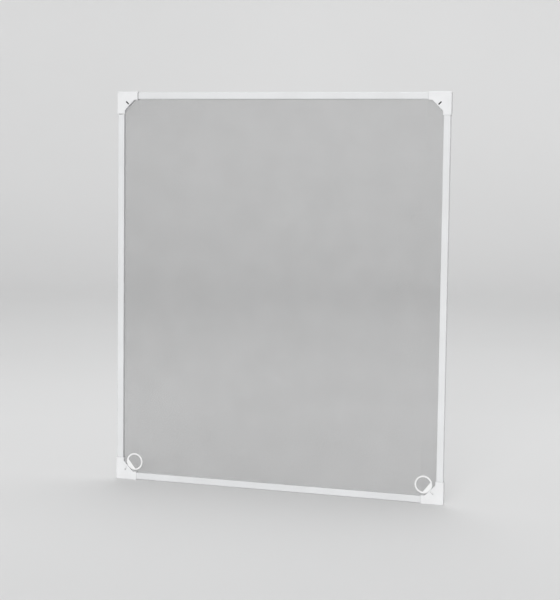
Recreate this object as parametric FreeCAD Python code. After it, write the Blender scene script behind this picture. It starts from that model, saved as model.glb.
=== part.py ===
import FreeCAD, Part
import math
import os
from FreeCAD import Vector

# A window insect screen: hollow rails plugged onto moulded corners, netting held by splines in
# grooves on the rear, magnet strips on the rear, and pull rings snapped into the lower corners.
# Millimetres. X runs to the right, Y from the front to the rear, Z up. The origin lies under the
# middle of the lower edge, halfway through the thickness.

# Overall size, measured over the corners
screen_width = 768.0
screen_height = 882.0

# Rail section: a hollow strip with a magnet channel and a spline groove open to the rear
rail_width = 15.0
rail_depth = 9.0
rail_wall = 1.2
rail_round = 1.5
groove_width = 4.0
groove_lip = 0.5
groove_lip_depth = 0.8
channel_depth = 1.6
magnet_proud = 0.5

# Corner: two visible legs, a chamfered gusset between them and barbed pegs inside the rails
corner_leg = 50.0
corner_overhang = 1.7
corner_proud = 1.0
corner_chamfer = 23.0
corner_radius = 3.0
corner_edge_round = 1.2
core_wall = 2.0
core_depth = 5.0
peg_length = 32.0
peg_barbs = 4
barb_height = 0.5
peg_tip_taper = 1.2

# Slot in the gusset's face, and the pocket behind it for the pull ring's tongue
slot_length = 9.0
slot_width = 3.0
slot_from_chamfer = 2.5
pocket_cover = 2.0
tongue_width = 8.0
tongue_thickness = 2.4
tongue_length = 13.0
tooth_length = 6.0

# Pull ring: a round band with a straight bar across, which leaves a D-shaped finger hole. The ring
# hangs a little lower than its corner's diagonal.
ring_radius = 19.6
ring_band = 3.8
ring_thickness = 3.2
ring_bar = 10.2
ring_standoff = 19.0
ring_tilt = 7.0
ring_edge_bevel = 0.8
hole_corner_round = 2.0

# Netting: a thin sheet with a plain grid of openings, each for many fine holes of the netting
netting_depth = 0.8
netting_columns = 10
netting_rows = 12
netting_open = 0.8
netting_corner_border = 10.0
sheet_corner_overlap = 8.0

# Clearances
fit = 0.05
tongue_play = 0.2
strip_end_gap = 1.0
loose_joint_gap = 1.0

# Sizes that follow from the ones above
corner_band = rail_width + 2 * corner_overhang
corner_depth = corner_proud + rail_depth
total_depth = corner_depth + magnet_proud
front = -total_depth / 2
rail_front = front + corner_proud
rail_rear = rail_front + rail_depth
chamber_width = rail_width - 3 * rail_wall - groove_width
chamber_depth = rail_depth - channel_depth - 2 * rail_wall
groove_outer = rail_width - rail_wall - groove_width
groove_inner = rail_width - rail_wall
spline_diameter = groove_width - 2 * fit
groove_depth = spline_diameter + 2 * fit + groove_lip_depth
groove_floor = rail_depth - groove_depth
seat_depth = netting_depth + fit
netting_edge = corner_overhang + groove_inner
chamfer_distance = (2 * corner_band + corner_chamfer) / math.sqrt(2)
span_across = screen_width - 2 * corner_leg
span_upright = screen_height - 2 * corner_leg
level_turn = Vector(0, 1, 0)
origin = Vector(0, 0, 0)

# Each side's turn about Y, the middle of its outer edge, and its span between the corners
half_width = screen_width / 2
half_height = screen_height / 2
SIDES = {
    "bottom": (0, Vector(0, 0, 0), span_across),
    "left": (90, Vector(-half_width, 0, half_height), span_upright),
    "top": (180, Vector(0, 0, screen_height), span_across),
    "right": (270, Vector(half_width, 0, half_height), span_upright),
}
CORNERS = {
    "lower_left": (0, Vector(-half_width, 0, 0)),
    "upper_left": (90, Vector(-half_width, 0, screen_height)),
    "upper_right": (180, Vector(half_width, 0, screen_height)),
    "lower_right": (270, Vector(half_width, 0, 0)),
}
# Each pull ring's turn about Y, which lets it hang down
RING_TILTS = {"lower_left": ring_tilt, "lower_right": -ring_tilt}
# Gap left at a rail's first and last end, where the upper left joint isn't pushed home
LOOSE_ENDS = {"top": (0, loose_joint_gap), "left": (loose_joint_gap, 0)}


def outline(corners):
    """A closed wire through (point, radius) corners, each rounded by its radius."""
    starts = []
    ends = []
    middles = []
    count = len(corners)
    for index, (point, radius) in enumerate(corners):
        before = (corners[index - 1][0] - point).normalize()
        after = (corners[(index + 1) % count][0] - point).normalize()
        if radius == 0:
            starts.append(point)
            ends.append(point)
            middles.append(None)
            continue
        half_angle = before.getAngle(after) / 2
        reach = radius / math.tan(half_angle)
        inward = (before + after).normalize()
        starts.append(point + before * reach)
        ends.append(point + after * reach)
        middles.append(point + inward * (radius / math.sin(half_angle) - radius))
    edges = []
    for index in range(count):
        if middles[index] is not None:
            edges.append(Part.Arc(starts[index], middles[index], ends[index]).toShape())
        following = starts[(index + 1) % count]
        edges.append(Part.LineSegment(ends[index], following).toShape())
    return Part.Wire(edges)


def side_section(corners, holes=()):
    """A section of a side from (from outer edge, from front, radius) corners, with holes."""
    face = Part.Face(outline([(Vector(0, y, z), radius) for z, y, radius in corners]))
    for hole in holes:
        face = face.cut(Part.Face(outline([(Vector(0, y, z), radius) for z, y, radius in hole])))
    return face


def rectangle(z0, z1, y0, y1):
    """The corners of a rectangle in a side's section."""
    return [(z0, y0, 0), (z0, y1, 0), (z1, y1, 0), (z1, y0, 0)]


def along_side(section, start, end):
    """A section drawn out along its side between two distances from the middle."""
    face = section.copy()
    face.translate(Vector(start, 0, 0))
    return face.extrude(Vector(end - start, 0, 0))


def slab(corners, depth_from, depth_to):
    """A plan outline of (x, z, radius) corners, drawn out between two depths behind the front."""
    plan = outline([(Vector(x, front + depth_from, z), radius) for x, z, radius in corners])
    return Part.Face(plan).extrude(Vector(0, depth_to - depth_from, 0))


def block(x0, x1, depth_from, depth_to, z0, z1):
    """A straight block between two depths behind the front."""
    return slab([(x0, z0, 0), (x1, z0, 0), (x1, z1, 0), (x0, z1, 0)], depth_from, depth_to)


def rounded_bar(x0, x1, half_width_bar, depth_from, depth_to):
    """A bar along X with round ends, between two depths behind the front."""
    end_round = half_width_bar - fit
    corners = [(x0, -half_width_bar), (x1, -half_width_bar), (x1, half_width_bar), (x0, half_width_bar)]
    return slab([(x, z, end_round) for x, z in corners], depth_from, depth_to)


def on_diagonal(shape):
    """Turn a shape drawn along X so that it runs along a corner's diagonal."""
    turned = shape.copy()
    turned.rotate(origin, level_turn, -45)
    return turned


def placed(shape, turn, base):
    """A copy turned about Y and moved to its place on the screen."""
    copy = shape.copy()
    copy.rotate(origin, level_turn, turn)
    copy.translate(base)
    return copy


def rail_section():
    """The hollow rail: leg chamber, magnet channel, spline groove and a low inner wall."""
    outer_edge = corner_overhang
    inner_edge = outer_edge + rail_width
    channel_start = outer_edge + rail_wall
    channel_end = channel_start + chamber_width
    channel_floor = rail_rear - channel_depth
    groove_start = outer_edge + groove_outer
    groove_end = outer_edge + groove_inner
    floor = rail_front + groove_floor
    lip_under = rail_rear - groove_lip_depth
    netting_seat = rail_rear - seat_depth
    corners = [
        (outer_edge, rail_front, rail_round),
        (outer_edge, rail_rear, 0),
        (channel_start, rail_rear, 0),
        (channel_start, channel_floor, 0),
        (channel_end, channel_floor, 0),
        (channel_end, rail_rear, 0),
        (groove_start + groove_lip, rail_rear, 0),
        (groove_start + groove_lip, lip_under, 0),
        (groove_start, lip_under, 0),
        (groove_start, floor, 0),
        (groove_end, floor, 0),
        (groove_end, netting_seat, 0),
        (inner_edge, netting_seat, 0),
        (inner_edge, rail_front, rail_round),
    ]
    chamber_front = rail_front + rail_wall
    chamber = rectangle(channel_start, channel_end, chamber_front, chamber_front + chamber_depth)
    front_hollow = rectangle(groove_start, groove_end, chamber_front, floor - rail_wall)
    return side_section(corners, [chamber, front_hollow])


def rail(side):
    """A rail between two corners, short of the corner where its joint isn't pushed home."""
    turn, base, span = SIDES[side]
    first_gap, last_gap = LOOSE_ENDS.get(side, (0, 0))
    solid = along_side(rail_section(), first_gap - span / 2, span / 2 - last_gap)
    return placed(solid, turn, base)


def magnet(side):
    """A magnet strip that lies in the rear channel and stands a little proud of it."""
    turn, base, span = SIDES[side]
    start = corner_overhang + rail_wall + fit
    end = start + chamber_width - 2 * fit
    strip = rectangle(start, end, rail_rear - channel_depth, rail_rear + magnet_proud)
    reach = span / 2 - loose_joint_gap - strip_end_gap
    return placed(along_side(side_section(strip), -reach, reach), turn, base)


def spline(side):
    """A round cord that presses the netting into the groove."""
    turn, base, span = SIDES[side]
    middle = corner_overhang + groove_outer + groove_width / 2
    depth = rail_front + groove_floor + fit + spline_diameter / 2
    reach = span / 2 - loose_joint_gap - strip_end_gap
    cord = Part.makeCylinder(spline_diameter / 2, 2 * reach, Vector(-reach, depth, middle), Vector(1, 0, 0))
    return placed(cord, turn, base)


def peg():
    """A barbed peg along X, from the end of a corner's leg into the rail's chamber."""
    chamber_start = corner_overhang + rail_wall
    half_height_full = chamber_width / 2 - fit
    half_height_core = half_height_full - barb_height
    middle = chamber_start + chamber_width / 2
    barb_pitch = (peg_length - peg_tip_taper) / peg_barbs
    upper = [(corner_leg, half_height_core)]
    for number in range(peg_barbs):
        barb = corner_leg + number * barb_pitch + barb_pitch / 2
        upper.append((barb, half_height_core))
        upper.append((barb, half_height_full))
        upper.append((barb + barb_pitch / 2, half_height_core))
    upper.append((corner_leg + peg_length, half_height_core - peg_tip_taper))
    lower = [(x, -z) for x, z in reversed(upper)]
    profile = [(x, middle + z, 0) for x, z in upper + lower]
    depth_from = corner_proud + rail_wall + fit
    return slab(profile, depth_from, depth_from + chamber_depth - 2 * fit)


def corner_body():
    """The visible corner: two legs and the gusset, with rounded front edges."""
    inner = corner_band
    plan = [
        (0, 0, corner_radius),
        (corner_leg, 0, 0),
        (corner_leg, inner, 0),
        (inner + corner_chamfer, inner, 0),
        (inner, inner + corner_chamfer, 0),
        (inner, corner_leg, 0),
        (0, corner_leg, 0),
    ]
    body = slab(plan, 0, corner_depth)
    front_edges = []
    for edge in body.Edges:
        if all(abs(vertex.Y - front) < fit for vertex in edge.Vertexes):
            front_edges.append(edge)
    return body.makeFillet(corner_edge_round, front_edges)


def rear_hollows():
    """The moulding's hollows behind its legs, open to the rear, with ribs between them."""
    high = netting_edge - fit - core_wall
    low = core_wall
    depth_from = corner_depth - core_depth
    rib_end = high + core_wall
    leg_end = corner_leg - 2 * core_wall
    hollows = block(low, high, depth_from, corner_depth, low, high)
    along_x = block(rib_end, leg_end, depth_from, corner_depth, low, high)
    along_z = block(low, high, depth_from, corner_depth, rib_end, leg_end)
    return [hollows, along_x, along_z]


def tongue_room():
    """The pocket for the tongue, open at the chamfer, and the slot in front of it."""
    half_width_room = tongue_width / 2 + tongue_play
    room_end = chamfer_distance - tongue_length - tongue_play
    depth_to = pocket_cover + tongue_play + tongue_thickness
    pocket = block(room_end, chamfer_distance + corner_radius, pocket_cover, depth_to,
                   -half_width_room, half_width_room)
    slot_end = chamfer_distance - slot_from_chamfer
    slot = rounded_bar(slot_end - slot_length, slot_end, slot_width / 2, 0, pocket_cover)
    return [on_diagonal(pocket), on_diagonal(slot)]


def corner(name):
    """One corner: body, pegs, rear hollows, the seat for the netting and the tongue's room."""
    turn, base = CORNERS[name]
    seat_from = netting_edge - fit
    seat = block(seat_from, corner_leg, corner_depth - seat_depth, corner_depth, seat_from, corner_leg)
    body = corner_body().cut([seat] + rear_hollows() + tongue_room())
    peg_across = peg()
    peg_upright = peg_across.mirror(origin, Vector(1, 0, -1))
    return placed(body.fuse([peg_across, peg_upright]).removeSplitter(), turn, base)


def ring_band_solid(tilt):
    """The tilted ring with its D-shaped hole, cut straight where it meets the corner's chamfer."""
    centre = chamfer_distance + ring_standoff
    ring_front = front + pocket_cover + tongue_play + (tongue_thickness - ring_thickness) / 2
    hole_radius = ring_radius - ring_band
    hole_start = chamfer_distance + ring_bar
    hole_half = math.sqrt(hole_radius ** 2 - (centre - hole_start) ** 2)
    lower = Vector(hole_start, ring_front, -hole_half)
    upper = Vector(hole_start, ring_front, hole_half)
    far = Vector(centre + hole_radius, ring_front, 0)
    d_shape = Part.Wire([Part.Arc(lower, far, upper).toShape(), Part.LineSegment(upper, lower).toShape()])
    hole = Part.Face(d_shape).extrude(Vector(0, ring_thickness, 0))
    upright = [edge for edge in hole.Edges
               if abs(edge.Vertexes[0].Y - edge.Vertexes[-1].Y) > ring_thickness / 2]
    disc = Part.makeCylinder(ring_radius, ring_thickness, Vector(centre, ring_front, 0), level_turn)
    ring = disc.cut(hole.makeFillet(hole_corner_round, upright))
    face_edges = [edge for edge in ring.Edges if abs(edge.Vertexes[0].Y - edge.Vertexes[-1].Y) < fit]
    ring = ring.makeChamfer(ring_edge_bevel, face_edges)
    ring.rotate(Vector(chamfer_distance, 0, 0), level_turn, tilt)
    behind = block(0, chamfer_distance + fit, 0, total_depth, -ring_radius, ring_radius)
    return ring.cut(behind)


def pull_ring(name):
    """A ring with a tongue whose tooth snaps into the corner's slot."""
    turn, base = CORNERS[name]
    floor = pocket_cover + tongue_play + tongue_thickness
    tongue = block(chamfer_distance - tongue_length, chamfer_distance + ring_edge_bevel,
                   floor - tongue_thickness, floor, -tongue_width / 2, tongue_width / 2)
    tooth_end = chamfer_distance - slot_from_chamfer - tongue_play
    tooth = rounded_bar(tooth_end - tooth_length, tooth_end, slot_width / 2 - tongue_play,
                        tongue_play, floor - tongue_thickness)
    whole = ring_band_solid(RING_TILTS[name]).fuse([tongue, tooth]).removeSplitter()
    return placed(on_diagonal(whole), turn, base)


def corner_triangles(reach):
    """A triangle at each corner of the screen, through its whole thickness."""
    triangle = slab([(0, 0, 0), (reach, 0, 0), (0, reach, 0)], 0, total_depth)
    return [placed(triangle, turn, base) for turn, base in CORNERS.values()]


def netting():
    """The netting: a sheet with cut corners and a grid of openings, from groove to groove."""
    depth_from = corner_depth - netting_depth
    reach = half_width - netting_edge
    low = netting_edge
    high = screen_height - netting_edge
    sheet = block(-reach, reach, depth_from, corner_depth, low, high)
    cell_width = 2 * reach / netting_columns
    cell_height = (high - low) / netting_rows
    half_open_width = cell_width * netting_open / 2
    half_open_height = cell_height * netting_open / 2
    openings = []
    for column in range(netting_columns):
        x = -reach + (column + 0.5) * cell_width
        for row in range(netting_rows):
            z = low + (row + 0.5) * cell_height
            openings.append(block(x - half_open_width, x + half_open_width, depth_from, corner_depth,
                                  z - half_open_height, z + half_open_height))
    corner_cut = (chamfer_distance - sheet_corner_overlap) * math.sqrt(2)
    border = netting_corner_border * math.sqrt(2)
    grid = Part.makeCompound(openings).cut(corner_triangles(corner_cut + border))
    return sheet.cut(grid.Solids + corner_triangles(corner_cut))


def save(shape, node):
    """Write one piece, and print what it holds."""
    solids = shape.Solids
    piece = solids[0] if len(solids) == 1 else Part.makeCompound(solids)
    piece.exportStep("parts/" + node + ".step")
    print(node, "solids", len(solids), "valid", piece.isValid(), "volume", round(piece.Volume, 2))


def main():
    os.makedirs("parts", exist_ok=True)
    for side in SIDES:
        save(rail(side), side + "_rail")
        save(magnet(side), side + "_magnet")
        save(spline(side), side + "_spline")
    for name in CORNERS:
        save(corner(name), name + "_corner")
    for name in ("lower_left", "lower_right"):
        save(pull_ring(name), name + "_pull_ring")
    save(netting(), "insect_mesh")


main()
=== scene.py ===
import bpy
import bmesh
import math
from mathutils import Matrix, Vector


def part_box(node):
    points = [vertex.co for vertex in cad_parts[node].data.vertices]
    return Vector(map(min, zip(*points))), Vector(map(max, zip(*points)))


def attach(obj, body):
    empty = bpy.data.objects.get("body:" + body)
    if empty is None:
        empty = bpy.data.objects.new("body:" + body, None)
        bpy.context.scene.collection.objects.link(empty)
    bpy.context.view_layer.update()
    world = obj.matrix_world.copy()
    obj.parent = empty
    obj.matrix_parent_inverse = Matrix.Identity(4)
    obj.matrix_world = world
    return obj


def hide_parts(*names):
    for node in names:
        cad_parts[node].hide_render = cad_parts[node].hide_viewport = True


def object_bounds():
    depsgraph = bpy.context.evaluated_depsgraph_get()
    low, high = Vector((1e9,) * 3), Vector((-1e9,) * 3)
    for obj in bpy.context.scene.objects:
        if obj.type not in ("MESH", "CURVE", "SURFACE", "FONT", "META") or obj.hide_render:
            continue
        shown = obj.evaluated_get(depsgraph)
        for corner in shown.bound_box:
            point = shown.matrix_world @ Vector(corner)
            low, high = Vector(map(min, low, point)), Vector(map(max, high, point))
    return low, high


# A white window insect screen, dressed around its CAD frame. Metres throughout.

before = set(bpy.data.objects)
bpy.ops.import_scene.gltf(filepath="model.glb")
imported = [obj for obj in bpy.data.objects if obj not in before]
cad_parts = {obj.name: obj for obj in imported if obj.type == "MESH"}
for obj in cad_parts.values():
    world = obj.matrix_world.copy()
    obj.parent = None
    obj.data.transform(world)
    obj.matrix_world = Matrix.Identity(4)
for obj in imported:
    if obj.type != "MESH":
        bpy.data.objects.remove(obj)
cad_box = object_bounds()
MM = 0.001
SIDES = ("top", "bottom", "left", "right")
LEVEL_SIDES = ("top", "bottom")
CORNERS = ("upper_left", "upper_right", "lower_left", "lower_right")

# Netting: square threads in two layers
WARP_PITCH = 1.41 * MM
WEFT_PITCH = 1.59 * MM
THREAD = 0.30 * MM
THREAD_STEPS = 6
NET_EDGE_SLACK = 0.2 * MM

# How the threads stray sideways: two slow waves, in radians per metre, with a phase for each layer
THREAD_DRIFT = 0.45 * MM
WAVE_ACROSS = 5.3
SECOND_WAVE_ACROSS = 3.1
SECOND_WAVE_ALONG = 8.9
SECOND_WAVE_SHARE = 0.7
WARP_PHASE = 0.4
WEFT_PHASE = 1.9

# How a thread's end is tucked round the cord in its groove
TUCK_WALL_GAP = 0.25 * MM
TUCK_END_ABOVE_CORD = 0.8 * MM
TUCK_BEND_BELOW_CORD = 0.9 * MM
TUCK_BEND_WIDTH = 0.7 * MM
TUCK_LIP_ROUND = 0.35 * MM

# Spline cord
CORD_RADIUS = 1.62 * MM
CORD_RIB = 0.14 * MM
CORD_RIBS = 14

# Corner, in its own plan: along the diagonal from the outer corner, and sideways
CORNER_BAND = 18.4 * MM
CORNER_CHAMFER = 23.0 * MM
CHAMFER_AT = (2 * CORNER_BAND + CORNER_CHAMFER) / math.sqrt(2)
SLOT_LENGTH = 9.0 * MM
SLOT_FROM_CHAMFER = 2.5 * MM
SLOT_FROM_EDGES = (CHAMFER_AT - SLOT_FROM_CHAMFER - SLOT_LENGTH / 2) / math.sqrt(2)

# Pull ring, in the same plan
RING_STANDOFF = 19.0 * MM
RING_TILT = math.radians(7.0)
RING_RADIUS = 19.6 * MM
RING_BAND = 3.8 * MM
RING_BAR = 10.2 * MM
RING_HOLE_ROUND = 2.0 * MM
RING_DEPTHS = (-3.45 * MM, -0.25 * MM)
RING_ROUND = 1.1 * MM
RING_GAP = 0.05 * MM
TONGUE_FROM = 29.3 * MM
TONGUE_TO = 44.2 * MM
TONGUE_HALF = 4.0 * MM
TONGUE_CORNER = 0.4 * MM
TONGUE_DEPTHS = (-3.05 * MM, -0.65 * MM)
TONGUE_ROUND = 0.35 * MM
TOOTH_FROM = 33.6 * MM
TOOTH_TO = 39.57 * MM
TOOTH_HALF = 1.28 * MM
TOOTH_DEPTHS = (-5.05 * MM, -2.9 * MM)
TOOTH_ROUND = 0.3 * MM

# Fineness of the ring's mesh: steps of its arcs and edges, and what counts as one point, flat or crisp
BAND_STEPS = 96
HOLE_STEPS = 64
FILLET_STEPS = 8
BAR_CORNER_STEPS = 6
EDGE_STEPS = 3
SAME_POINT = 0.001 * MM
JOIN_SLACK = 0.01 * MM
FLAT_ANGLE = math.radians(0.2)
CRISP_ANGLE = math.radians(35)

# Shade in crevices: its reach at joints and inner corners, and inside the slots of the corners
JOINT_REACH = 3.0 * MM
SLOT_REACH = 14.0 * MM
SLOT_ZONE = (5.5 * MM, 7.0 * MM)

# Finish of edges that hands rub, and of the magnet strips
WORN_EDGE = 0.6 * MM
POLE_PITCH = 2.4 * MM
PLASTIC_IOR = 1.53

# Camera, solved from the screen's corners and joints in the photograph
FRAME_WIDTH_PX = 560
FOCAL_PX = 1610
SENSOR_MM = 36.0
CAMERA_AT = Vector((1.1526, -3.3355, 0.7448))
CAMERA_AIM = Vector((0.0088, -0.0053, 0.4272))
CAMERA_ROLL_DEG = -0.683
VIEW_DEPTH = 60.0

# Stage: the round floor, the curve up to its wall, and the light of the room
FLOOR_RADIUS = 5.0
FLOOR_RISE = 2.5
WALL_HEIGHT = 4.0
FLOOR_SEGMENTS = 96
RISE_STEPS = 16
LIGHT_AIM = (0.0, 0.0, 0.45)
ROOM_COLOUR = (0.97, 0.985, 1.0, 1.0)
ROOM_STRENGTH = 0.40


# Shader helpers

def grey(level, warm=0.0):
    """A grey, which leans to red where warm is above 0 and to blue below."""
    return (level + warm, level, level - warm)


class Shader:
    """A material's node tree with short ways to add and join nodes."""

    def __init__(self, name):
        self.material = bpy.data.materials.new(name)
        self.material.use_nodes = True
        self.tree = self.material.node_tree
        self.surface = self.tree.nodes["Principled BSDF"]
        self.place = self.tree.nodes.new("ShaderNodeTexCoord").outputs["Object"]

    def put(self, value, socket):
        """Join a node's output to the socket, or set the socket to a plain value."""
        if isinstance(value, bpy.types.NodeSocket):
            self.tree.links.new(value, socket)
        else:
            socket.default_value = value

    def node(self, kind, inputs=None, **settings):
        made = self.tree.nodes.new(kind)
        for key, value in settings.items():
            setattr(made, key, value)
        for key, value in (inputs or {}).items():
            self.put(value, made.inputs[key])
        return made

    def vector(self, operation, first, second=(0.0, 0.0, 0.0), result="Vector"):
        made = self.node("ShaderNodeVectorMath", {0: first, 1: second}, operation=operation)
        return made.outputs[result]

    def stretched(self, scale):
        """Object coordinates multiplied by a scale for each axis."""
        return self.node("ShaderNodeMapping", {"Vector": self.place, "Scale": scale}).outputs[0]

    def noise(self, scale, detail, vector=None):
        inputs = {"Vector": vector or self.place, "Scale": scale, "Detail": detail}
        return self.node("ShaderNodeTexNoise", inputs).outputs["Fac"]

    def ramp(self, factor, stops):
        """A colour ramp; each stop is (position, rgb)."""
        made = self.node("ShaderNodeValToRGB", {"Fac": factor})
        elements = made.color_ramp.elements
        while len(elements) < len(stops):
            elements.new(0.5)
        for element, (position, rgb) in zip(elements, stops):
            element.position = position
            element.color = (*rgb, 1.0)
        return made.outputs["Color"]

    def mix(self, factor, first, second, blend="MIX"):
        """Two colours mixed; the node's colour sockets have the numbers 6 and 7, and its result 2."""
        inputs = {0: factor, 6: first, 7: second}
        return self.node("ShaderNodeMix", inputs, data_type="RGBA", blend_type=blend).outputs[2]

    def spread(self, value, low, high, start=0.0, end=1.0):
        """A value from start to end mapped to low to high, and held there outside."""
        inputs = {"Value": value, "From Min": start, "From Max": end, "To Min": low, "To Max": high}
        return self.node("ShaderNodeMapRange", inputs).outputs[0]

    def combined(self, operation, first, second):
        return self.node("ShaderNodeMath", {0: first, 1: second}, operation=operation).outputs[0]

    def crevice(self, reach):
        """Mask for painted shade: 1 on open faces and on the rear, falling to 0 deep inside slots, joints
        and inner corners.
        """
        open_share = self.node("ShaderNodeAmbientOcclusion", {"Distance": reach}, samples=8).outputs["AO"]
        normal = self.node("ShaderNodeNewGeometry").outputs["Normal"]
        to_rear = self.node("ShaderNodeSeparateXYZ", {0: normal}).outputs["Y"]
        rear = self.spread(to_rear, low=0.0, high=1.0, start=0.3, end=0.6)
        return self.combined("MAXIMUM", open_share, rear)

    def slot_distance(self):
        """How far a point lies from the middle of the nearest corner slot, seen from the front."""
        low, high = cad_box
        middle = (low[2] + high[2]) / 2
        slot = (high[0] - SLOT_FROM_EDGES, 0.0, high[2] - middle - SLOT_FROM_EDGES)
        centred = self.vector("SUBTRACT", self.place, (0.0, 0.0, middle))
        flat = self.vector("MULTIPLY", self.vector("ABSOLUTE", centred), (1.0, 0.0, 1.0))
        return self.vector("DISTANCE", flat, slot, result="Value")

    def edge(self, reach):
        """0 on flat faces, rising on edges that hands and cloths rub."""
        rounded = self.node("ShaderNodeBevel", {"Radius": reach}, samples=4).outputs[0]
        true = self.node("ShaderNodeNewGeometry").outputs["Normal"]
        match = self.vector("DOT_PRODUCT", rounded, true, result="Value")
        return self.spread(match, low=0.0, high=1.0, start=0.98, end=0.80)

    def crevice_shade_and_wear(self, colour, reach):
        """A white colour with painted shade darkening its crevices, and slightly rubbed edges."""
        # Painted shade: the colour is multiplied towards black deep in slots, joints and inner corners
        crevice_shade = self.ramp(self.crevice(reach), [(0.40, grey(0.012)), (0.58, grey(0.42)), (0.85, grey(1.0))])
        crevice_shaded = self.mix(1.0, colour, crevice_shade, "MULTIPLY")
        patchy = self.spread(self.noise(scale=260.0, detail=3.0), low=0.0, high=0.30)
        rubbed = self.combined("MULTIPLY", self.edge(WORN_EDGE), patchy)
        return self.mix(rubbed, crevice_shaded, (*grey(0.55, 0.004), 1.0))

    def bump(self, height, strength, distance):
        made = self.node("ShaderNodeBump", {"Height": height, "Strength": strength, "Distance": distance})
        self.put(made.outputs[0], self.surface.inputs["Normal"])

    def set(self, **values):
        """Set the surface's sockets, with _ for each space of a name, and give back the material."""
        for key, value in values.items():
            self.put(value, self.surface.inputs[key.replace("_", " ")])
        return self.material


# Materials

def white_rail_material(name, along):
    """Extruded white plastic: faint draw lines along the rail, dust specks, handling grey and painted shade
    in its joints and grooves.
    """
    shader = Shader(name)
    line_scale = [2600.0, 2600.0, 2600.0]
    line_scale[along] = 3.0
    lines = shader.noise(scale=1.0, detail=2.0, vector=shader.stretched(line_scale))
    cloud = shader.noise(scale=9.0, detail=4.0)
    dust = shader.noise(scale=420.0, detail=2.0)
    tone = shader.ramp(cloud, [(0.3, grey(0.64, -0.005)), (0.7, grey(0.69, -0.008))])
    specks = shader.ramp(dust, [(0.70, grey(0.0)), (0.80, grey(1.0))])
    # Painted shade in joints and grooves, and rubbed grey on the edges
    colour = shader.crevice_shade_and_wear(shader.mix(specks, tone, (*grey(0.60, 0.008), 1.0)), JOINT_REACH)
    shader.bump(lines, strength=0.10, distance=0.1 * MM)
    roughness = shader.spread(lines, low=0.34, high=0.46)
    return shader.set(Base_Color=colour, Roughness=roughness, IOR=PLASTIC_IOR)


def moulding_material():
    """Injection-moulded white corner: fine spark texture, soft flow clouds and painted shade in its joints
    and slots.
    """
    shader = Shader("moulded_white")
    flow = shader.noise(scale=35.0, detail=3.0)
    grain = shader.noise(scale=2200.0, detail=2.0)
    tone = shader.ramp(flow, [(0.3, (0.692, 0.695, 0.701)), (0.7, (0.737, 0.740, 0.746))])
    shader.bump(grain, strength=0.20, distance=0.1 * MM)
    # Painted shade reaches further inside the corner slots, so they read dark
    zone_start, zone_end = SLOT_ZONE
    reach = shader.spread(shader.slot_distance(), SLOT_REACH, JOINT_REACH, zone_start, zone_end)
    colour = shader.crevice_shade_and_wear(tone, reach)
    roughness = shader.spread(grain, low=0.38, high=0.55)
    return shader.set(Base_Color=colour, Roughness=roughness, IOR=PLASTIC_IOR)


def ring_material():
    """Polished white moulding of the pull rings."""
    shader = Shader("polished_white")
    flow = shader.noise(scale=60.0, detail=2.0)
    ripple = shader.noise(scale=500.0, detail=2.0)
    tone = shader.ramp(flow, [(0.3, grey(0.76)), (0.7, grey(0.80))])
    shader.bump(ripple, strength=0.03, distance=0.1 * MM)
    roughness = shader.spread(flow, low=0.18, high=0.28)
    return shader.set(Base_Color=tone, Roughness=roughness, IOR=PLASTIC_IOR)


def netting_material():
    """Coated glass-fibre thread: soft grey, with lighter and darker runs."""
    shader = Shader("coated_thread")
    run = shader.noise(scale=14.0, detail=3.0)
    fine = shader.noise(scale=1500.0, detail=1.0)
    tone = shader.ramp(run, [(0.3, grey(0.23, -0.001)), (0.7, grey(0.29, -0.001))])
    shader.bump(fine, strength=0.2, distance=0.05 * MM)
    return shader.set(Base_Color=tone, Roughness=shader.spread(fine, low=0.45, high=0.65))


def cord_material():
    """Dark grey soft cord with a dry skin."""
    shader = Shader("cord_rubber")
    bloom = shader.noise(scale=60.0, detail=4.0)
    skin = shader.noise(scale=900.0, detail=2.0)
    tone = shader.ramp(bloom, [(0.35, grey(0.035)), (0.75, grey(0.075))])
    shader.bump(skin, strength=0.15, distance=0.1 * MM)
    return shader.set(Base_Color=tone, Roughness=shader.spread(bloom, low=0.6, high=0.8))


def magnet_material(name, along):
    """Flexible magnet strip: dark brown, with the faint bands of its poles along the strip."""
    shader = Shader(name)
    across = 2 - along
    band_scale = [0.0, 0.0, 0.0]
    band_scale[across] = 1.0 / POLE_PITCH
    wave = {"Vector": shader.stretched(band_scale), "Scale": 0.32, "Distortion": 0.6, "Detail": 2.0}
    bands = shader.node("ShaderNodeTexWave", wave).outputs["Fac"]
    dust = shader.noise(scale=700.0, detail=3.0)
    tone = shader.ramp(bands, [(0.35, (0.020, 0.017, 0.015)), (0.65, (0.034, 0.029, 0.026))])
    dusty_share = shader.spread(dust, low=0.0, high=0.18)
    colour = shader.mix(dusty_share, tone, (0.12, 0.11, 0.10, 1.0))
    shader.bump(dust, strength=0.1, distance=0.1 * MM)
    return shader.set(Base_Color=colour, Roughness=shader.spread(dust, low=0.55, high=0.8))


def floor_material():
    """Plain pale studio ground, which glows a little less towards its wall."""
    shader = Shader("pale_ground")
    cloud = shader.noise(scale=0.7, detail=3.0)
    tone = shader.ramp(cloud, [(0.2, grey(0.47)), (0.8, grey(0.49))])
    away = shader.vector("LENGTH", shader.place, result="Value")
    glow = shader.spread(away, low=0.215, high=0.15, start=1.2, end=5.5)
    return shader.set(Base_Color=tone, Roughness=0.9, Specular_IOR_Level=0.0,
                      Emission_Color=(1.0, 1.0, 1.0, 1.0), Emission_Strength=glow)


# Pieces

def new_piece(name, vertices, faces, material, smooth=True):
    """A mesh piece that belongs to the screen."""
    mesh = bpy.data.meshes.new(name)
    mesh.from_pydata(vertices, [], faces)
    mesh.validate()
    mesh.polygons.foreach_set("use_smooth", [smooth] * len(mesh.polygons))
    mesh.materials.append(material)
    piece = bpy.data.objects.new(name, mesh)
    bpy.context.scene.collection.objects.link(piece)
    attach(piece, "root")
    return piece


def paint(node, material):
    """Give a CAD node its material."""
    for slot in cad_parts[node].material_slots:
        slot.material = material


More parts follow.
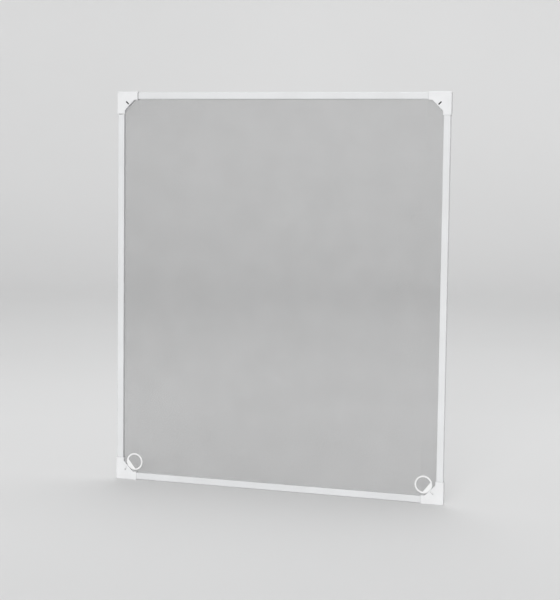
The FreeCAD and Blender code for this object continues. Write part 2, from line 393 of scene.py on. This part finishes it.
def frame_lines():
    """The frame's own lines that the netting and the cords follow, from the CAD boxes."""
    net_low, net_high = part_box("insect_mesh")
    level_low, level_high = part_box("bottom_spline")
    upright_low, upright_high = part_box("left_spline")
    return {
        "net_low": net_low,
        "net_high": net_high,
        "half_level_cord": level_high[0],
        "half_upright_cord": (upright_high[2] - upright_low[2]) / 2,
        "cord_drop": net_low[2] - (level_low[2] + level_high[2]) / 2,
        "cord_depth": (level_low[1] + level_high[1]) / 2,
        "cord_radius": (level_high[2] - level_low[2]) / 2,
    }


LINES = frame_lines()


def tuck_path(level):
    """One thread's end: (outward from the netting's edge, depth), from its loose end to the level."""
    near = TUCK_WALL_GAP
    far = 2 * LINES["cord_drop"] - near
    depth = LINES["cord_depth"]
    bend = depth - TUCK_BEND_BELOW_CORD
    below = depth - CORD_RADIUS - THREAD
    return [
        (far, depth + TUCK_END_ABOVE_CORD),
        (far, bend),
        (far - TUCK_BEND_WIDTH, below),
        (near + TUCK_BEND_WIDTH, below),
        (near, bend),
        (near, level - TUCK_LIP_ROUND),
        (-TUCK_LIP_ROUND, level),
    ]


def thread_line(end, level, tucked):
    """A thread from -end to end, as (along, depth) points."""
    steps = [(2 * end * step / THREAD_STEPS - end, level) for step in range(1, THREAD_STEPS)]
    if not tucked:
        return [(-end, level)] + steps + [(end, level)]
    tuck = tuck_path(level)
    start = [(-end - out, depth) for out, depth in tuck]
    finish = [(end + out, depth) for out, depth in reversed(tuck)]
    return start + steps + finish


def drift(across, along, phase):
    """How far a thread strays sideways at a place: slow waves that it shares with its neighbours."""
    first = math.sin(WAVE_ACROSS * across + phase)
    second = math.sin(SECOND_WAVE_ALONG * along + SECOND_WAVE_ACROSS * across + 2 * phase)
    return THREAD_DRIFT * (first + SECOND_WAVE_SHARE * second)


def add_thread(vertices, faces, line, place):
    """A square thread round a line of (along, depth) points.

    place turns (across, along, depth) into a point of the screen."""
    half = THREAD / 2
    base = len(vertices)
    count = len(line)
    for index, (along, depth) in enumerate(line):
        before = Vector(line[max(index - 1, 0)])
        after = Vector(line[min(index + 1, count - 1)])
        run = (after - before).normalized()
        normal = Vector((-run.y, run.x)) * half
        for across, side in ((-half, 1), (half, 1), (half, -1), (-half, -1)):
            vertices.append(place(across, along + side * normal.x, depth + side * normal.y))
    for index in range(count - 1):
        ring = base + 4 * index
        for corner in range(4):
            following = (corner + 1) % 4
            faces.append((ring + following, ring + corner, ring + 4 + corner, ring + 4 + following))
    faces.append((base, base + 1, base + 2, base + 3))
    last = base + 4 * (count - 1)
    faces.append((last + 3, last + 2, last + 1, last))


def corner_cut():
    """How far the netting's corners are cut back along each edge, measured on the CAD netting."""
    high = LINES["net_high"]
    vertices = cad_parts["insect_mesh"].data.vertices
    side_heights = [vertex.co.z for vertex in vertices if abs(vertex.co.x - high[0]) < NET_EDGE_SLACK]
    return high[2] - max(side_heights)


def netting(material):
    """All threads of the netting: upright ones in front, level ones behind, tucked under the cords."""
    low, high = LINES["net_low"], LINES["net_high"]
    middle = (low[1] + high[1]) / 2
    centre_z = (low[2] + high[2]) / 2
    half_x = high[0]
    half_z = (high[2] - low[2]) / 2
    cut = corner_cut()
    vertices = []
    faces = []

    def lay(half_across, half_along, pitch, half_cord, level, phase, place):
        """One layer of threads; those beside a corner are shorter and end untucked."""
        count = int(2 * half_across / pitch)
        for number in range(count):
            offset = (number - (count - 1) / 2) * pitch
            end = half_along - max(0.0, abs(offset) - (half_across - cut))
            line = thread_line(end, level, tucked=abs(offset) < half_cord)

            def point(across, along, depth):
                inside = max(0.0, 1 - (along / end) ** 2)
                return place(offset + across + inside * drift(offset, along, phase), along, depth)

            add_thread(vertices, faces, line, point)

    lay(half_x, half_z, WARP_PITCH, LINES["half_level_cord"], middle - THREAD / 2, WARP_PHASE,
        lambda across, along, depth: (across, depth, centre_z + along))
    lay(half_z, half_x, WEFT_PITCH, LINES["half_upright_cord"], middle + THREAD / 2, WEFT_PHASE,
        lambda across, along, depth: (-along, depth, centre_z + across))
    piece = new_piece("insect_netting", vertices, faces, material)
    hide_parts("insect_mesh")


def cord(side, material):
    """A ribbed spline cord in the groove of one rail."""
    low, high = (Vector(corner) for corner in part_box(side + "_spline"))
    along = 0 if side in LEVEL_SIDES else 2
    across = 2 - along
    middle = (low + high) / 2
    depth = middle.y + (LINES["cord_radius"] - CORD_RADIUS)
    points = 2 * CORD_RIBS
    vertices = []
    for end in (low[along], high[along]):
        for number in range(points):
            radius = CORD_RADIUS - (CORD_RIB if number % 2 else 0.0)
            angle = 2 * math.pi * number / points
            point = [0.0, depth + radius * math.sin(angle), 0.0]
            point[along] = end
            point[across] = middle[across] + radius * math.cos(angle)
            vertices.append(point)
    faces = [tuple(reversed(range(points))), tuple(range(points, 2 * points))]
    for number in range(points):
        following = (number + 1) % points
        faces.append((number, following, points + following, points + number))
    if along == 0:
        faces = [face[::-1] for face in faces]
    piece = new_piece(side + "_spline_cord", vertices, faces, material, smooth=False)
    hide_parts(side + "_spline")


def arc(centre, radius, start, end, steps):
    """Points along an arc, from one angle to the other."""
    points = []
    for step in range(steps + 1):
        angle = start + (end - start) * step / steps
        points.append((centre[0] + radius * math.cos(angle), centre[1] + radius * math.sin(angle)))
    return points


def ring_outlines():
    """The ring's outer outline and its D-shaped hole, both inset by the rounding of the edges."""
    along, aside = math.cos(RING_TILT), -math.sin(RING_TILT)
    centre = (CHAMFER_AT + RING_STANDOFF * along, RING_STANDOFF * aside)
    outer = RING_RADIUS - RING_ROUND
    flat = centre[0] - (CHAMFER_AT + RING_GAP + RING_ROUND)
    meet = math.pi - math.acos(flat / outer)
    band = arc(centre, outer, -meet, meet, BAND_STEPS)
    hole = RING_RADIUS - RING_BAND + RING_ROUND
    fillet = RING_HOLE_ROUND + RING_ROUND
    chord = RING_STANDOFF - RING_BAR + RING_ROUND
    fillet_x = fillet - chord
    fillet_z = math.sqrt((hole - fillet) ** 2 - fillet_x ** 2)
    turn = math.atan2(fillet_z, fillet_x)
    upper = arc((fillet_x, fillet_z), fillet, turn, math.pi, FILLET_STEPS)
    lower = arc((fillet_x, -fillet_z), fillet, math.pi, 2 * math.pi - turn, FILLET_STEPS)
    d_shape = arc((0.0, 0.0), hole, -turn, turn, HOLE_STEPS)[1:-1] + upper + lower
    turned = [(centre[0] + x * along - z * aside, centre[1] + x * aside + z * along) for x, z in d_shape]
    return [band, turned[::-1]]


def bar_outline(start, end, half, rounding, corner):
    """A bar along the diagonal with rounded corners, inset by the rounding of its edges."""
    low, high, reach = start + rounding, end - rounding, half - rounding
    corner = min(corner, reach)
    centres = (
        (high - corner, reach - corner),
        (low + corner, reach - corner),
        (low + corner, corner - reach),
        (high - corner, corner - reach),
    )
    quarter = math.pi / 2
    points = []
    for number, centre in enumerate(centres):
        points += arc(centre, corner, number * quarter, (number + 1) * quarter, BAR_CORNER_STEPS)
    return points


def rounded_plate(outlines, depths, rounding):
    """A plate between two depths with rounded edges; its outlines are drawn inset by the rounding.

    The first outline runs anticlockwise, and each hole after it clockwise."""
    curve = bpy.data.curves.new("outline", "CURVE")
    curve.dimensions = "2D"
    curve.fill_mode = "BOTH"
    curve.extrude = (depths[1] - depths[0]) / 2 - rounding
    curve.bevel_depth = rounding
    curve.bevel_resolution = EDGE_STEPS
    for outline in outlines:
        spline = curve.splines.new("POLY")
        spline.points.add(len(outline) - 1)
        for point, (along, aside) in zip(spline.points, outline):
            point.co = (along, aside, 0.0, 1.0)
        spline.use_cyclic_u = True
    drawn = bpy.data.objects.new("outline", curve)
    bpy.context.scene.collection.objects.link(drawn)
    bpy.context.view_layer.update()
    mesh = bpy.data.meshes.new_from_object(drawn.evaluated_get(bpy.context.evaluated_depsgraph_get()))
    bpy.data.objects.remove(drawn)
    bpy.data.curves.remove(curve)
    body = bmesh.new()
    body.from_mesh(mesh)
    bpy.data.meshes.remove(mesh)
    bmesh.ops.remove_doubles(body, verts=body.verts, dist=SAME_POINT)
    middle = (depths[0] + depths[1]) / 2
    for vertex in body.verts:
        along, aside, height = vertex.co
        vertex.co = (along, middle - height, aside)
    bmesh.ops.recalc_face_normals(body, faces=body.faces)
    return body


def merged(bodies):
    """The vertices and faces of one closed mesh from bodies that reach into each other, without slivers."""
    objects = []
    for body in bodies:
        mesh = bpy.data.meshes.new("body")
        body.to_mesh(mesh)
        body.free()
        item = bpy.data.objects.new("body", mesh)
        bpy.context.scene.collection.objects.link(item)
        objects.append(item)
    for item in objects[1:]:
        joining = objects[0].modifiers.new("join", "BOOLEAN")
        joining.operation = "UNION"
        joining.solver = "EXACT"
        joining.object = item
    bpy.context.view_layer.update()
    mesh = bpy.data.meshes.new_from_object(objects[0].evaluated_get(bpy.context.evaluated_depsgraph_get()))
    for item in objects:
        old = item.data
        bpy.data.objects.remove(item)
        bpy.data.meshes.remove(old)
    joined = bmesh.new()
    joined.from_mesh(mesh)
    bmesh.ops.remove_doubles(joined, verts=joined.verts, dist=JOIN_SLACK)
    bmesh.ops.dissolve_degenerate(joined, edges=joined.edges, dist=JOIN_SLACK)
    bmesh.ops.dissolve_limit(joined, angle_limit=FLAT_ANGLE, verts=joined.verts, edges=joined.edges)
    bmesh.ops.triangulate(joined, faces=[face for face in joined.faces if len(face.verts) > 4])
    bmesh.ops.dissolve_degenerate(joined, edges=joined.edges, dist=JOIN_SLACK)
    joined.to_mesh(mesh)
    joined.free()
    vertices = [tuple(vertex.co) for vertex in mesh.vertices]
    faces = [tuple(polygon.vertices) for polygon in mesh.polygons]
    bpy.data.meshes.remove(mesh)
    return vertices, faces


def pull_rings(material):
    """Both pull rings with soft edges, each with its tongue and the tooth that shows in the slot."""
    ring = rounded_plate(ring_outlines(), RING_DEPTHS, RING_ROUND)
    tongue_line = bar_outline(TONGUE_FROM, TONGUE_TO, TONGUE_HALF, TONGUE_ROUND, TONGUE_CORNER)
    tongue = rounded_plate([tongue_line], TONGUE_DEPTHS, TONGUE_ROUND)
    tooth_line = bar_outline(TOOTH_FROM, TOOTH_TO, TOOTH_HALF, TOOTH_ROUND, TOOTH_HALF)
    tooth = rounded_plate([tooth_line], TOOTH_DEPTHS, TOOTH_ROUND)
    vertices, faces = merged([ring, tongue, tooth])
    half_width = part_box("lower_right_corner")[1][0]
    slope = math.sqrt(0.5)
    placed = [((x - z) * slope - half_width, y, (x + z) * slope) for x, y, z in vertices]
    mirrored = [(-x, y, z) for x, y, z in placed]
    for name, points, winding in (("lower_left", placed, 1), ("lower_right", mirrored, -1)):
        piece = new_piece(name + "_finger_ring", points, [face[::winding] for face in faces], material)
        piece.data.set_sharp_from_angle(angle=CRISP_ANGLE)
        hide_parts(name + "_pull_ring")


# Stage, light and camera

def ground():
    """A pale floor that curves up into a round backdrop on all sides."""
    profile = [(FLOOR_RADIUS, 0.0)]
    for step in range(1, RISE_STEPS + 1):
        angle = step / RISE_STEPS * math.pi / 2
        profile.append((FLOOR_RADIUS + FLOOR_RISE * math.sin(angle), FLOOR_RISE * (1 - math.cos(angle))))
    profile.append((FLOOR_RADIUS + FLOOR_RISE, FLOOR_RISE + WALL_HEIGHT))
    vertices = [(0.0, 0.0, 0.0)]
    for radius, height in profile:
        for number in range(FLOOR_SEGMENTS):
            angle = 2 * math.pi * number / FLOOR_SEGMENTS
            vertices.append((radius * math.cos(angle), radius * math.sin(angle), height))
    faces = []
    for number in range(FLOOR_SEGMENTS):
        following = (number + 1) % FLOOR_SEGMENTS
        faces.append((0, 1 + number, 1 + following))
        for row in range(len(profile) - 1):
            base = 1 + row * FLOOR_SEGMENTS
            above = base + FLOOR_SEGMENTS
            faces.append((base + number, above + number, above + following, base + following))
    mesh = bpy.data.meshes.new("ground")
    mesh.from_pydata(vertices, [], faces)
    mesh.polygons.foreach_set("use_smooth", [True] * len(mesh.polygons))
    mesh.materials.append(floor_material())
    floor = bpy.data.objects.new("ground", mesh)
    bpy.context.scene.collection.objects.link(floor)
    floor.visible_shadow = False


def place_light(data, place):
    """Put a light at a place, aimed at the screen and hidden from the camera."""
    light = bpy.data.objects.new(data.name, data)
    light.location = place
    light.rotation_euler = (Vector(LIGHT_AIM) - Vector(place)).to_track_quat("-Z", "Y").to_euler()
    light.visible_camera = False
    bpy.context.scene.collection.objects.link(light)


def soft_sun(name, place, softness_deg, strength):
    """Even light from one side, with shadows that soften by the angle."""
    data = bpy.data.lights.new(name, "SUN")
    data.angle = math.radians(softness_deg)
    data.energy = strength
    place_light(data, place)


def lamp(name, place, size, watts):
    """A round soft lamp."""
    data = bpy.data.lights.new(name, "AREA")
    data.shape = "DISK"
    data.size = size
    data.energy = watts
    place_light(data, place)


def lights():
    """A soft key from the front, a weaker fill from the rear, a lamp above and a pale room."""
    soft_sun("key", place=(0.6, -4.2, 1.9), softness_deg=26.0, strength=2.1)
    soft_sun("rear_fill", place=(-1.6, 4.0, 2.6), softness_deg=40.0, strength=0.85)
    lamp("top", place=(0.1, 0.9, 4.0), size=2.5, watts=56.0)
    world = bpy.data.worlds.new("soft_room")
    world.use_nodes = True
    background = world.node_tree.nodes["Background"]
    background.inputs["Color"].default_value = ROOM_COLOUR
    background.inputs["Strength"].default_value = ROOM_STRENGTH
    bpy.context.scene.world = world


def camera():
    """The photograph's view."""
    data = bpy.data.cameras.new("camera")
    data.sensor_fit = "HORIZONTAL"
    data.sensor_width = SENSOR_MM
    data.lens = FOCAL_PX / FRAME_WIDTH_PX * SENSOR_MM
    data.clip_end = VIEW_DEPTH
    eye = bpy.data.objects.new("camera", data)
    forward = (CAMERA_AIM - CAMERA_AT).normalized()
    turn = forward.to_track_quat("-Z", "Y").to_matrix()
    roll = Matrix.Rotation(math.radians(CAMERA_ROLL_DEG), 3, forward)
    eye.matrix_world = Matrix.Translation(CAMERA_AT) @ (roll @ turn).to_4x4()
    bpy.context.scene.collection.objects.link(eye)
    bpy.context.scene.camera = eye


def build():
    """Dress the rails, magnets and corners, add the finer pieces, and set the stage."""
    level_rail = white_rail_material("rail_white_level", 0)
    upright_rail = white_rail_material("rail_white_upright", 2)
    level_magnet = magnet_material("magnet_level", 0)
    upright_magnet = magnet_material("magnet_upright", 2)
    rubber = cord_material()
    for side in SIDES:
        level = side in LEVEL_SIDES
        paint(side + "_rail", level_rail if level else upright_rail)
        paint(side + "_magnet", level_magnet if level else upright_magnet)
        cord(side, rubber)
    white = moulding_material()
    for name in CORNERS:
        paint(name + "_corner", white)
    pull_rings(ring_material())
    netting(netting_material())
    ground()
    lights()
    camera()
    bpy.context.scene.view_settings.view_transform = "Standard"


build()
